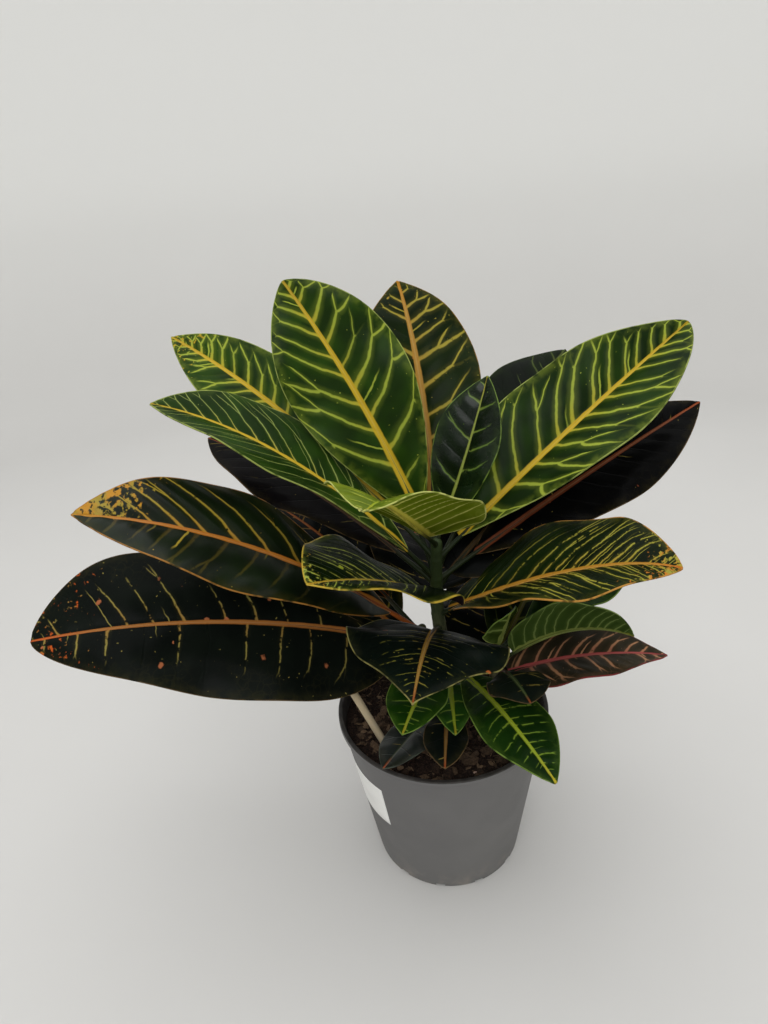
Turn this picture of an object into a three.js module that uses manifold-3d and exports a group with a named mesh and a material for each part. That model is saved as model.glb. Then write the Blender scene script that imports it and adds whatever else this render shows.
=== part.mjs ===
// A potted croton: a house plant with broad, leathery, vein-painted leaves on three woody stems,
// standing in soil in a plain plastic nursery pot, with a thin wooden cane and a blank label.
// Millimetres, +Z up. The origin is the middle of the pot's underside and the plant's front is -Y.
import * as THREE from "three";
import { mergeVertices } from "three/addons/utils/BufferGeometryUtils.js";
import Module from "manifold-3d";

const wasm = await Module();
wasm.setup();

// Driving dimensions
const CLEARANCE = 0.3; // between pieces that touch
const POT = { height: 145, rimRadius: 90, footRadius: 64.5, wall: 1.8, lip: 1.8, lipDrop: 5, sides: 56 };
POT.base = { centre: 26, rise: 5, ring: 55 }; // between its flat centre and its foot ring the floor is raised
POT.notch = { width: 8, height: 3, count: 12 }; // cut through the foot ring for draining
POT.drain = { radius: 6, ring: 41, count: 8 };
const SOIL = { top: 133, sides: 40, rings: 5, bump: 2.2 };
const CANE = { radius: 3.1, foot: [-23, -42, 70], tip: [-78, -24, 192], sides: 8 };
const LABEL = { width: 74, height: 44, top: 111, middle: 201, thick: 0.7, steps: 9 };

// A stem follows a smooth curve up from its hole in the soil; radius runs from foot to top.
const STEMS = {
  main: { points: [[8, 4, 91], [6, 3, 170], [0, 1, 240], [2, 0, 304]], radius: [7, 4.4] },
  left: { points: [[-22, 14, 91], [-17, 11, 160], [-13, 7, 220]], radius: [5.2, 3.6] },
  right: { points: [[36, -12, 91], [40, -16, 150], [44, -20, 210]], radius: [4.8, 3.2] },
};
const STEM_SIDES = 9;

// How a leaf of each age stands: fold lifts the halves from flat, cup bends them down again towards
// the margin (degrees), wave is the height of the margin's ripple, petiole the bare stalk's length
// and stalk its radius at the stem.
const AGES = {
  bud: { color: 0x55701e, fold: 26, cup: 20, wave: 1.5, petiole: 12, stalk: 1.6, thick: 0.9 },
  young: { color: 0x4f6b23, fold: 22, cup: 18, wave: 1.5, petiole: 22, stalk: 2.1, thick: 1.0 },
  gold: { color: 0x2f4a1d, fold: 16, cup: 16, wave: 2, petiole: 26, stalk: 2.5, thick: 1.1 },
  amber: { color: 0x22361a, fold: 20, cup: 22, wave: 2.5, petiole: 32, stalk: 2.6, thick: 1.1 },
  dark: { color: 0x141d14, fold: 12, cup: 20, wave: 3, petiole: 36, stalk: 2.6, thick: 1.1 },
  red: { color: 0x2a1a18, fold: 18, cup: 16, wave: 2, petiole: 30, stalk: 2.3, thick: 1.1 },
};

// Each leaf: its stem, the height it leaves it at, where its tip is, how far the curve between
// bows up and sways sideways, the blade's width, and its roll about the midrib. A leaf that stands
// out from others of its age has its own fold or petiole, or says how far up its blade is widest,
// by how much its halves differ in that (skew), how its tip narrows (point; above 1 is drawn out),
// how far along the bow is highest (lean), or how far its tip curls down.
const LEAVES = [
  // top of the main stem
  { name: "leaf_crown_left", age: "gold", stem: "main", at: 292, tip: [-100, 60, 499], bow: 15, sway: 12, width: 97, roll: 52, point: 0.7 },
  { name: "leaf_crown_back", age: "amber", stem: "main", at: 280, tip: [-11, 130, 484], bow: 30, sway: 12, width: 99, roll: 0, widest: 0.53 },
  { name: "leaf_crown_small", age: "bud", stem: "main", at: 300, tip: [48, 25, 423], bow: 0, sway: 6, width: 56, roll: -25 },
  { name: "leaf_crown_right", age: "gold", stem: "main", at: 283, tip: [209, 54, 446], bow: 8, sway: 0, width: 106, roll: -30, fold: 32, widest: 0.52, skew: -0.08, point: 0.7 },
  { name: "leaf_crown_front", age: "young", stem: "main", at: 297, tip: [-46, -127, 402], bow: 5, sway: 0, width: 103, roll: 0, fold: 26, widest: 0.36, skew: 0.1, lean: 0.68, curl: 10 },
  // below the crown, going round
  { name: "leaf_upper_left", age: "gold", stem: "main", at: 284, tip: [-205, 110, 455], bow: 34, sway: 0, width: 74, roll: 34, petiole: 34 },
  { name: "leaf_upper_right", age: "dark", stem: "main", at: 264, tip: [232, 70, 375], bow: 8, sway: 0, width: 78, roll: -34 },
  { name: "leaf_upper_back_right", age: "amber", stem: "main", at: 274, tip: [132, 120, 416], bow: 30, sway: 0, width: 84, roll: -10 },
  { name: "leaf_middle_left", age: "gold", stem: "main", at: 266, tip: [-197, 0, 428], bow: 52, sway: 0, width: 76, roll: 14, fold: 24 },
  { name: "leaf_shaded_left", age: "dark", stem: "main", at: 261, tip: [-183, 86, 371], bow: 26, sway: 0, width: 80, roll: 4 },
  { name: "leaf_middle_front_left", age: "amber", stem: "main", at: 250, tip: [-91, -83, 320], bow: 16, sway: 0, width: 122, roll: 3, fold: 23, widest: 0.46, petiole: 8, skew: 0.06 },
  { name: "leaf_middle_front_right", age: "amber", stem: "main", at: 233, tip: [148, -103, 323], bow: 29, sway: 0, width: 104, roll: -10, fold: 26, petiole: 8, lean: 0.68, widest: 0.5, skew: -0.08 },
  { name: "leaf_middle_back_right", age: "dark", stem: "main", at: 256, tip: [146, 104, 324], bow: 29, sway: 0, width: 96, roll: -30, petiole: 16, widest: 0.42 },
  { name: "leaf_back_high", age: "amber", stem: "main", at: 267, tip: [-62, 172, 392], bow: 40, sway: 0, width: 84, roll: 0 },
  { name: "leaf_back_middle", age: "dark", stem: "main", at: 246, tip: [12, 160, 245], bow: 20, sway: 0, width: 118, roll: -4, petiole: 12, widest: 0.42 },
  { name: "leaf_lower_front", age: "dark", stem: "main", at: 218, tip: [-28, -117, 244], bow: 34, sway: 0, width: 120, roll: 6, widest: 0.38, point: 1.2, petiole: 30 },
  { name: "leaf_hanging_right", age: "gold", stem: "main", at: 184, tip: [65, -128, 178], bow: 22, sway: 0, width: 56, roll: 0 },
  { name: "leaf_low_green_left", age: "gold", stem: "main", at: 196, tip: [-36, -100, 204], bow: 10, sway: 0, width: 46, roll: 0 },
  { name: "leaf_low_green_front", age: "young", stem: "main", at: 174, tip: [3, -80, 181], bow: 18, sway: 0, width: 32, roll: 0 },
  { name: "leaf_soil_left", age: "dark", stem: "main", at: 146, tip: [-52, -96, 170], bow: 6, sway: 0, width: 34, roll: 0 },
  { name: "leaf_soil_front", age: "dark", stem: "main", at: 158, tip: [-8, -105, 175], bow: 8, sway: 0, width: 34, roll: 0 },
  // left stem
  { name: "leaf_broad_left", age: "amber", stem: "left", at: 212, tip: [-240, -66, 376], bow: 48, sway: 0, width: 88, roll: 30, widest: 0.55, skew: 0.05 },
  { name: "leaf_lowest_left", age: "dark", stem: "left", at: 198, tip: [-304, -46, 268], bow: 40, sway: 0, width: 124, roll: 36, widest: 0.52, petiole: 20, skew: 0.17, point: 0.6 },
  { name: "leaf_back_left", age: "dark", stem: "left", at: 208, tip: [-150, 112, 300], bow: 30, sway: 0, width: 84, roll: 0 },
  { name: "leaf_low_back_left", age: "amber", stem: "left", at: 184, tip: [-92, 118, 203], bow: 14, sway: 0, width: 82, roll: 0 },
  // right stem
  { name: "leaf_middle_right", age: "gold", stem: "right", at: 204, tip: [158, 10, 255], bow: 24, sway: 0, width: 60, roll: 0 },
  { name: "leaf_olive_right", age: "young", stem: "right", at: 192, tip: [150, -32, 221], bow: 38, sway: 0, width: 72, roll: 38, petiole: 16, widest: 0.4, fold: 42 },
  { name: "leaf_red_right", age: "red", stem: "right", at: 180, tip: [178, -32, 200], bow: 20, sway: 0, width: 74, roll: 0, widest: 0.36, petiole: 12 },
  { name: "leaf_small_olive", age: "young", stem: "right", at: 207, tip: [54, -30, 250], bow: 0, sway: 0, width: 46, roll: 0, petiole: 10 },
  { name: "leaf_low_back_right", age: "amber", stem: "right", at: 186, tip: [128, 104, 228], bow: 28, sway: 0, width: 72, roll: 0, petiole: 20, widest: 0.42 },
  { name: "leaf_low_back", age: "dark", stem: "right", at: 178, tip: [60, 124, 188], bow: 34, sway: 0, width: 98, roll: 0, widest: 0.38, petiole: 25 },
  { name: "leaf_small_dark_right", age: "dark", stem: "right", at: 190, tip: [56, -90, 214], bow: 14, sway: 0, width: 48, roll: 0, petiole: 24 },
];

// Solids
function solidOf(geometry) {
  const bare = geometry.clone();
  bare.deleteAttribute("normal");
  bare.deleteAttribute("uv");
  const merged = mergeVertices(bare, 1e-4);
  return new wasm.Manifold(
    new wasm.Mesh({
      numProp: 3,
      vertProperties: merged.attributes.position.array,
      triVerts: new Uint32Array(merged.index.array),
    }),
  );
}

function geometryOf(solid) {
  const { vertProperties, triVerts, numProp, numVert } = solid.getMesh();
  const position = new Float32Array(numVert * 3);
  for (let i = 0; i < numVert; i++)
    position.set(vertProperties.subarray(i * numProp, i * numProp + 3), i * 3);
  const geometry = new THREE.BufferGeometry();
  geometry.setAttribute("position", new THREE.BufferAttribute(position, 3));
  geometry.setIndex(new THREE.BufferAttribute(new Uint32Array(triVerts), 1));
  geometry.computeVertexNormals();
  return geometry;
}

// A closed surface from rings of points, each ring running the same way round. From the place
// in the ring given as mirrorFrom on, its four-sided faces are split along their other diagonal.
function skin(rings, mirrorFrom = Infinity) {
  const around = rings[0].length;
  const index = [];
  const corner = (ring, i) => ring * around + (i % around);
  for (let ring = 0; ring < rings.length - 1; ring++)
    for (let i = 0; i < around; i++) {
      const [a, b, c, d] = [corner(ring, i), corner(ring, i + 1), corner(ring + 1, i + 1), corner(ring + 1, i)];
      index.push(...(i < mirrorFrom ? [a, b, c, a, c, d] : [a, b, d, b, c, d]));
    }
  const last = rings.length - 1;
  for (let i = 1; i < around - 1; i++) {
    index.push(corner(0, 0), corner(0, i + 1), corner(0, i));
    index.push(corner(last, 0), corner(last, i), corner(last, i + 1));
  }
  const geometry = new THREE.BufferGeometry().setFromPoints(rings.flat());
  geometry.setIndex(index);
  return geometry;
}

// A round rod through points, its radius running between two ends.
function rod(points, [startRadius, endRadius], sides, grow = 0) {
  const rings = points.map((point, i) => {
    const along = points[Math.min(i + 1, points.length - 1)]
      .clone()
      .sub(points[Math.max(i - 1, 0)])
      .normalize();
    const across = new THREE.Vector3(0, 1, 0).cross(along).normalize();
    const other = along.clone().cross(across);
    const radius = grow + THREE.MathUtils.lerp(startRadius, endRadius, i / (points.length - 1));
    return Array.from({ length: sides }, (_, k) => {
      const turn = (2 * Math.PI * k) / sides;
      return point
        .clone()
        .addScaledVector(across, radius * Math.cos(turn))
        .addScaledVector(other, radius * Math.sin(turn));
    });
  });
  return solidOf(skin(rings));
}

const vector = ([x, y, z]) => new THREE.Vector3(x, y, z);

const stemCurves = Object.fromEntries(
  Object.entries(STEMS).map(([name, stem]) => [name, new THREE.CatmullRomCurve3(stem.points.map(vector))]),
);

function stemSolid(name, grow = 0) {
  return rod(stemCurves[name].getPoints(8), STEMS[name].radius, STEM_SIDES, grow);
}

// The point of a stem's axis at a height, found by walking up the curve.
function stemPoint(name, height) {
  const walk = stemCurves[name].getPoints(200);
  return walk.reduce((best, p) => (Math.abs(p.z - height) < Math.abs(best.z - height) ? p : best));
}

// A leaf's midrib is a bowed curve from the stem to the tip.
function midrib(leaf) {
  const foot = stemPoint(leaf.stem, leaf.at);
  const tip = vector(leaf.tip);
  const reach = tip.clone().sub(foot);
  const heading = Math.atan2(reach.y, reach.x);
  const right = new THREE.Vector3(Math.sin(heading), -Math.cos(heading), 0);
  const bend = foot
    .clone()
    .lerp(tip, leaf.lean ?? 0.5)
    .addScaledVector(right, leaf.sway)
    .add(new THREE.Vector3(0, 0, leaf.bow));
  return { curve: new THREE.QuadraticBezierCurve3(foot, bend, tip), right, length: reach.length() };
}

// Half the blade's width as a share of its greatest, from blade base (0) to tip (1).
const WIDEST = 0.57;
const BASE_SHARPNESS = 0.66;
const TIP_SHARPNESS = 0.82;
function outline(leaf, along, side) {
  const widest = (leaf.widest ?? WIDEST) + Math.sign(side) * (leaf.skew ?? 0);
  const swell = Math.log(0.5) / Math.log(widest);
  const sharpness = THREE.MathUtils.lerp(BASE_SHARPNESS, leaf.point ?? TIP_SHARPNESS, along);
  return Math.max(Math.sin(Math.PI * along ** swell), 0) ** sharpness;
}

// The leaf's own directions at a point of its midrib: across to the right, and out of its upper face.
function directions(leaf, rib, t) {
  const tangent = rib.curve.getTangent(t);
  const right = rib.right.clone().addScaledVector(tangent, -rib.right.dot(tangent)).normalize();
  const face = right.clone().cross(tangent);
  const roll = -THREE.MathUtils.degToRad(leaf.roll);
  return { right: right.applyAxisAngle(tangent, roll), face: face.applyAxisAngle(tangent, roll) };
}

const petioleShare = (leaf, rib) => (leaf.petiole ?? AGES[leaf.age].petiole) / rib.length;

// A point of the blade: along runs 0 to 1 from base to tip, side -1 to 1 from margin to margin.
function bladePoint(leaf, rib, along, side) {
  const { fold, cup, wave } = { ...AGES[leaf.age], ...leaf };
  const t = THREE.MathUtils.lerp(petioleShare(leaf, rib), 1, along);
  const { right, face } = directions(leaf, rib, t);
  const half = Math.max((leaf.width / 2) * outline(leaf, along, side), 0.5);
  const out = Math.abs(side);
  const lift = THREE.MathUtils.degToRad(fold - (cup * out) / 2);
  const ripple = ((wave * half) / 40) * out ** 2 * Math.sin(2 * Math.PI * 2.5 * along + (side > 0 ? 0.8 : 2.6));
  const curl = (leaf.curl ?? 0) * THREE.MathUtils.smoothstep(along, 0.6, 1) ** 2;
  return rib.curve
    .getPoint(t)
    .addScaledVector(right, Math.sign(side) * out * half * Math.cos(lift))
    .addScaledVector(face, out * half * Math.sin(lift) + ripple - curl);
}

const ACROSS = [-1, -0.5, 0, 0.5, 1];
const STALK_STEPS = 4;

// A leaf is one skin: round rings up the petiole, then flat ones up the blade, whose midrib
// stands out below. Each ring runs over the upper face from left to right and back underneath.
function leafSolid(leaf) {
  const { thick, stalk } = AGES[leaf.age];
  const rib = midrib(leaf);
  const steps = leaf.width < 60 ? 8 : 11;
  const rings = [];
  for (let step = 0; step < STALK_STEPS; step++) {
    const t = (petioleShare(leaf, rib) * step) / (STALK_STEPS - 1);
    const { right, face } = directions(leaf, rib, t);
    const radius = THREE.MathUtils.lerp(stalk, 0.7 * stalk, step / (STALK_STEPS - 1));
    const round = Array.from({ length: 2 * ACROSS.length }, (_, i) => {
      const turn = Math.PI * (1 - (i + 0.5) / ACROSS.length);
      return rib.curve
        .getPoint(t)
        .addScaledVector(right, radius * Math.cos(turn))
        .addScaledVector(face, radius * Math.sin(turn));
    });
    rings.push(round);
  }
  for (let step = 1; step <= steps; step++) {
    const along = step / steps;
    const t = THREE.MathUtils.lerp(petioleShare(leaf, rib), 1, along);
    const span = bladePoint(leaf, rib, along, 1).sub(bladePoint(leaf, rib, along, -1));
    const face = span.cross(rib.curve.getTangent(t)).normalize();
    const layer = (side, out) => bladePoint(leaf, rib, along, side).addScaledVector(face, out);
    const keel = THREE.MathUtils.lerp(0.8 * stalk, 0.3, along);
    const top = ACROSS.map((side) => layer(side, thick / 2));
    const under = ACROSS.map((side) => layer(side, -thick / 2 - (side === 0 ? keel : 0)));
    rings.push([...top, ...under.reverse()]);
  }
  // the underside comes second in each ring and is split as the top is, or waves would cross
  return solidOf(skin(rings, ACROSS.length)).subtract(stemSolid(leaf.stem, CLEARANCE));
}

// The pot's outer radius at a height, and its inner one
const potSlope = (POT.rimRadius - POT.lip - POT.footRadius) / POT.height;
const potOuter = (z) => POT.footRadius + potSlope * z;
const potInner = (z) => potOuter(z) - POT.wall;

// Pot: a tapered cup with a rolled lip, its raised floor drained through holes and foot notches
function potGeometry() {
  const { height, rimRadius, footRadius, wall, lipDrop, base } = POT;
  const profile = [
    [0, 0],
    [base.centre, 0],
    [base.centre + 2, base.rise],
    [base.ring, base.rise],
    [base.ring + 2, 0],
    [footRadius - 0.8, 0],
    [potOuter(1), 1],
    [potOuter(height - lipDrop), height - lipDrop],
    [rimRadius - 0.6, height - lipDrop],
    [rimRadius, height - lipDrop + 0.8],
    [rimRadius, height - 1.2],
    [rimRadius - 1.2, height],
    [potInner(height) + 1, height],
    [potInner(height), height - 1],
    [potInner(base.rise + wall + 3), base.rise + wall + 3],
    [potInner(base.rise) - 3, base.rise + wall],
    [base.centre - 1, base.rise + wall],
    [base.centre - 3, wall],
    [0, wall],
  ].map(([r, z]) => new THREE.Vector2(r, z));
  let pot = solidOf(new THREE.LatheGeometry(profile, POT.sides).rotateX(Math.PI / 2));
  for (let i = 0; i < POT.notch.count; i++) {
    const notch = new THREE.BoxGeometry(24, POT.notch.width, 2 * POT.notch.height);
    notch.translate(footRadius, 0, 0).rotateZ((2 * Math.PI * (i + 0.6)) / POT.notch.count);
    pot = pot.subtract(solidOf(notch));
  }
  for (let i = 0; i < POT.drain.count; i++) {
    const hole = new THREE.CylinderGeometry(POT.drain.radius, POT.drain.radius, 20, 12).rotateX(Math.PI / 2);
    hole.translate(POT.drain.ring, 0, base.rise).rotateZ((2 * Math.PI * (i + 0.35)) / POT.drain.count);
    pot = pot.subtract(solidOf(hole));
  }
  return geometryOf(pot);
}

// Soil: fills the pot to just below the rim, its top uneven, with plain holes for what stands in it
function soilGeometry() {
  const { wall, base } = POT;
  const floor = base.rise + wall + CLEARANCE;
  const lump = (r, a) => SOIL.bump * Math.sin(3 * a + r / 9) * Math.cos(2 * a - r / 13) * Math.sin(r / 11 + 1);
  const ring = (radius, height) =>
    Array.from({ length: SOIL.sides }, (_, k) => {
      const a = (2 * Math.PI * k) / SOIL.sides;
      return new THREE.Vector3(radius * Math.cos(a), radius * Math.sin(a), height(radius, a));
    });
  const rings = [
    ring(base.centre - 4, () => wall + CLEARANCE),
    ring(base.centre - 2, () => floor),
    ring(potInner(base.rise) - 3.6, () => floor),
    ring(potInner(base.rise + wall + 3) - 2 * CLEARANCE, () => floor + 3),
    ring(potInner(SOIL.top - 2) - 2 * CLEARANCE, () => SOIL.top - 2),
  ];
  for (let i = 0; i < SOIL.rings; i++) {
    const radius = THREE.MathUtils.lerp(potInner(SOIL.top) - 5, 12, i / (SOIL.rings - 1));
    rings.push(ring(radius, (r, a) => SOIL.top + lump(r, a)));
  }
  let soil = solidOf(skin(rings));
  for (const name of Object.keys(STEMS)) soil = soil.subtract(stemSolid(name, CLEARANCE));
  return geometryOf(soil.subtract(caneSolid(CLEARANCE)));
}

// Label: a blank sticker wrapped on the wall
function labelGeometry() {
  const turn = LABEL.width / potOuter(LABEL.top);
  const rings = Array.from({ length: LABEL.steps + 1 }, (_, i) => {
    const a = THREE.MathUtils.degToRad(LABEL.middle) + turn * (i / LABEL.steps - 0.5);
    const corner = (z, out) =>
      new THREE.Vector3((potOuter(z) + out) * Math.cos(a), (potOuter(z) + out) * Math.sin(a), z);
    const bottom = LABEL.top - LABEL.height;
    return [
      corner(bottom, CLEARANCE),
      corner(LABEL.top, CLEARANCE),
      corner(LABEL.top, CLEARANCE + LABEL.thick),
      corner(bottom, CLEARANCE + LABEL.thick),
    ];
  });
  return geometryOf(solidOf(skin(rings)));
}

function caneSolid(grow = 0) {
  return rod([vector(CANE.foot), vector(CANE.tip)], [CANE.radius, CANE.radius], CANE.sides, grow);
}

function mesh(name, geometry, color, roughness) {
  const made = new THREE.Mesh(geometry, new THREE.MeshStandardMaterial({ color, roughness, metalness: 0 }));
  made.name = name;
  return made;
}

const plant = new THREE.Group();
plant.add(mesh("pot", potGeometry(), 0x6a6c6b, 0.5));
plant.add(mesh("soil", soilGeometry(), 0x3a2c22, 1));
plant.add(mesh("label", labelGeometry(), 0xe6e6e2, 0.6));
plant.add(mesh("cane", geometryOf(caneSolid()), 0xc9b894, 0.8));
for (const name of Object.keys(STEMS)) plant.add(mesh("stem_" + name, geometryOf(stemSolid(name)), 0x6d6a4a, 0.8));
for (const leaf of LEAVES) plant.add(mesh(leaf.name, geometryOf(leafSolid(leaf)), AGES[leaf.age].color, 0.35));

export default plant;
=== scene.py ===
import math
import random
from functools import partialmethod

import bmesh
import bpy
from mathutils import Matrix, Vector, noise


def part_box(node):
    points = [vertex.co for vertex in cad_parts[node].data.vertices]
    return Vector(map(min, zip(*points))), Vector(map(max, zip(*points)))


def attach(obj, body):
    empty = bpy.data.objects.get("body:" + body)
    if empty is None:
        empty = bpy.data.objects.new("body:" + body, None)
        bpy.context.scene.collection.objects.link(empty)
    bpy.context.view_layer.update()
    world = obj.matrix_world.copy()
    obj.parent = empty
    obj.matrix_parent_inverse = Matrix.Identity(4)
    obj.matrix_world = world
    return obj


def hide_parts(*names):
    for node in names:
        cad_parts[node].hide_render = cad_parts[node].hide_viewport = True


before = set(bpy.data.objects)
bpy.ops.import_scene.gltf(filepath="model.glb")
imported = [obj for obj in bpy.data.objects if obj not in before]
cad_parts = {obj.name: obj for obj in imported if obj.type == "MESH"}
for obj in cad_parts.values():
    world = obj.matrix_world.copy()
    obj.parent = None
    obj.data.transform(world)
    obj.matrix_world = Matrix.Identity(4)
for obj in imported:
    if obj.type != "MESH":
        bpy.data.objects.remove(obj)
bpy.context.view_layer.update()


# The pot is a tapered nursery pot, injection moulded in matt grey plastic. Its lip is rolled
# outwards, and its floor, raised between a flat centre and the foot ring, drains through round
# holes, and through notches in that ring. The plant's root ball fills it.
POT_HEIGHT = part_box("pot")[1].z
POT_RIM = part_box("pot")[1].x
POT_FOOT = 0.0645
POT_WALL = 0.0018
POT_LIP = 0.0018
POT_TAPER = (POT_RIM - POT_LIP - POT_FOOT) / POT_HEIGHT
LIP_DEPTH = 0.005
# how far down the top of the lip is painted dark as shade
LIP_SHADE_DEPTH = 0.0009
FLOOR_RISE = 0.005
FLOOR_CENTRE = 0.026
FLOOR_SLANT = 0.002
FOOT_RING = 0.055
FOOT_INSET = 0.0008
FOOT_RISE = 0.001
CORNER = 0.003
NOTCH_COUNT = 12
NOTCH_WIDTH = 0.008
NOTCH_HEIGHT = 0.003
NOTCH_DEPTH = 0.024
NOTCH_SHIFT = 0.6
DRAIN_COUNT = 8
DRAIN_RADIUS = 0.006
DRAIN_RING = 0.041
DRAIN_SHIFT = 0.35
POT_STEPS = 160
LIP_ROUNDS = (0.0006, 0.0012, 0.0008)


def paint(code):
    """A colour as a mixing code, such as #6a6c6b, in the linear light that shaders take."""
    shares = [int(code[i : i + 2], 16) / 255 for i in (1, 3, 5)]
    return [s / 12.92 if s < 0.04045 else ((s + 0.055) / 1.055) ** 2.4 for s in shares] + [1]


def lay(tree, kind, *feeds, give=None, **settings):
    """Lays a node in a finish, feeds its inputs in order, and gives the output asked for. A feed
    is an output, a thing that holds one as its socket, a colour's code or a plain value."""
    node = tree.nodes.new("ShaderNode" + kind)
    for name, value in settings.items():
        setattr(node, name, value)
    for socket, feed in zip([s for s in node.inputs if s.enabled], feeds):
        feed = getattr(feed, "socket", feed)
        if isinstance(feed, bpy.types.NodeSocket):
            tree.links.new(feed, socket)
        elif feed is not None:
            socket.default_value = paint(feed) if isinstance(feed, str) else feed
    return next(s for s in node.outputs if s.enabled and give in (None, s.name))


def new_finish(name, **sockets):
    """A finish with one shader, its constant sockets set: gives the finish, its tree and shader."""
    finish = bpy.data.materials.new(name)
    finish.use_nodes = True
    tree = finish.node_tree
    tree.nodes.clear()
    shader = tree.nodes.new("ShaderNodeBsdfPrincipled")
    output = tree.nodes.new("ShaderNodeOutputMaterial")
    tree.links.new(shader.outputs["BSDF"], output.inputs["Surface"])
    for socket, value in sockets.items():
        shader.inputs[socket.replace("_", " ")].default_value = value
    return finish, tree, shader


def grain(tree, scale, detail=3, place=None):
    """Cloudy noise over a piece, where it lies in the object's own space."""
    place = place or lay(tree, "TexCoord", give="Object")
    return lay(tree, "TexNoise", place, scale, detail, 0.55, give="Fac")


def ramp(tree, value, start, end):
    """A soft step, from 0 where the value is at start to 1 where it is at end."""
    return lay(tree, "MapRange", value, start, end, 0, 1, interpolation_type="SMOOTHSTEP")


def blend(tree, share, one, other):
    """One colour passing into another by a share."""
    return lay(tree, "Mix", share, one, other, data_type="RGBA")


def dress(tree, shader, tint, height, strength, depth, rough=None):
    """Feeds a shader its colour, a height pattern pressed into it, and its roughness."""
    tree.links.new(tint, shader.inputs["Base Color"])
    relief = lay(tree, "Bump", strength, depth, None, height, give="Normal")
    tree.links.new(relief, shader.inputs["Normal"])
    if rough is not None:
        tree.links.new(rough, shader.inputs["Roughness"])


def pot_plastic():
    finish, tree, shader = new_finish("pot_plastic", Specular_IOR_Level=0.35)
    cloud = ramp(tree, grain(tree, 9), 0.3, 0.7)
    tint = blend(tree, cloud, "#646363", "#6d6c6b")
    place = lay(tree, "TexCoord", give="Object")
    height = lay(tree, "SeparateXYZ", place, give="Z")
    low = ramp(tree, height, 0.03, 0)
    dusty = lay(tree, "Math", low, ramp(tree, grain(tree, 60), 0.4, 0.8), operation="MULTIPLY")
    tint = blend(tree, dusty, tint, "#85807a")
    # painted shade, mottled with splashed soil, darkens the inside of the wall and the top of its lip
    level_place = lay(tree, "VectorMath", place, (1, 1, 0), operation="MULTIPLY", give="Vector")
    radius = lay(tree, "VectorMath", level_place, operation="LENGTH", give="Value")
    foot_radius = lay(tree, "Math", height, -POT_TAPER, radius, operation="MULTIPLY_ADD")
    shaded_inside = lay(tree, "Math", foot_radius, POT_FOOT - 0.5 * POT_WALL, operation="LESS_THAN")
    lip_top = lay(tree, "Math", height, POT_HEIGHT - LIP_SHADE_DEPTH, operation="GREATER_THAN")
    shaded_inside = lay(tree, "Math", shaded_inside, lip_top, operation="MAXIMUM")
    soil_and_shade_mottle = ramp(tree, grain(tree, 90), 0.3, 0.7)
    soil_and_shade_tint = blend(tree, soil_and_shade_mottle, "#24211e", "#3b3835")
    tint = blend(tree, shaded_inside, tint, soil_and_shade_tint)
    rough = lay(tree, "MapRange", grain(tree, 25), 0.3, 0.7, 0.5, 0.62)
    dress(tree, shader, tint, grain(tree, 1500, 1), 0.12, 0.0002, rough)
    return finish


def make_piece(name, bm, *finishes):
    """Turns a finished bmesh into a piece of the scene, smooth but for its creases."""
    mesh = bpy.data.meshes.new(name)
    bm.to_mesh(mesh)
    bm.free()
    mesh.shade_smooth()
    for finish in finishes:
        mesh.materials.append(finish)
    piece = bpy.data.objects.new(name, mesh)
    bpy.context.scene.collection.objects.link(piece)
    return piece


def applied(piece):
    """A piece's mesh as its modifiers leave it, which are then taken off."""
    view = bpy.context.evaluated_depsgraph_get()
    mesh = bpy.data.meshes.new_from_object(piece.evaluated_get(view))
    piece.modifiers.clear()
    return mesh


def turned(bm, profile, steps):
    """Turns a profile of radius and height pairs round the upright axis into a closed skin."""
    chain = [bm.verts.new((radius, 0, z)) for radius, z in profile]
    edges = [bm.edges.new(pair) for pair in zip(chain, chain[1:])]
    bmesh.ops.spin(
        bm, geom=chain + edges, axis=(0, 0, 1), cent=(0, 0, 0), angle=2 * math.pi,
        steps=steps, use_merge=True,
    )
    bmesh.ops.remove_doubles(bm, verts=bm.verts, dist=1e-6)
    bmesh.ops.recalc_face_normals(bm, faces=bm.faces)


def pot_outer(z):
    return POT_FOOT + POT_TAPER * z


def pot_inner(z):
    return pot_outer(z) - POT_WALL


def quarter(radius, z, size, start, steps=4):
    """A quarter circle of a profile round a middle, from an angle in degrees on."""
    angles = [math.radians(start + 90 * i / steps) for i in range(steps + 1)]
    return [(radius + size * math.cos(a), z + size * math.sin(a)) for a in angles]


lip_low = POT_HEIGHT - LIP_DEPTH
floor_top = FLOOR_RISE + POT_WALL
under, outer, inner = LIP_ROUNDS
pot_profile = [
    (0, 0),
    (FLOOR_CENTRE, 0),
    (FLOOR_CENTRE + FLOOR_SLANT, FLOOR_RISE),
    (FOOT_RING, FLOOR_RISE),
    (FOOT_RING + FLOOR_SLANT, 0),
    (POT_FOOT - FOOT_INSET, 0),
    (pot_outer(FOOT_RISE), FOOT_RISE),
    (pot_outer(NOTCH_HEIGHT + FOOT_RISE), NOTCH_HEIGHT + FOOT_RISE),
    (pot_outer(lip_low - under), lip_low - under),
    *quarter(POT_RIM - under, lip_low + under, under, -90),
    *quarter(POT_RIM - outer, POT_HEIGHT - outer, outer, 0),
    *quarter(pot_inner(POT_HEIGHT) + inner, POT_HEIGHT - inner, inner, 90),
    (pot_inner(lip_low), lip_low),
    (pot_inner(floor_top + CORNER), floor_top + CORNER),
    (pot_inner(FLOOR_RISE) - CORNER, floor_top),
    (FLOOR_CENTRE - 0.001, floor_top),
    (FLOOR_CENTRE - CORNER, POT_WALL),
    (0, POT_WALL),
]
bm = bmesh.new()
turned(bm, pot_profile, POT_STEPS)
pot = make_piece("pot_moulding", bm, pot_plastic())

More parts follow.
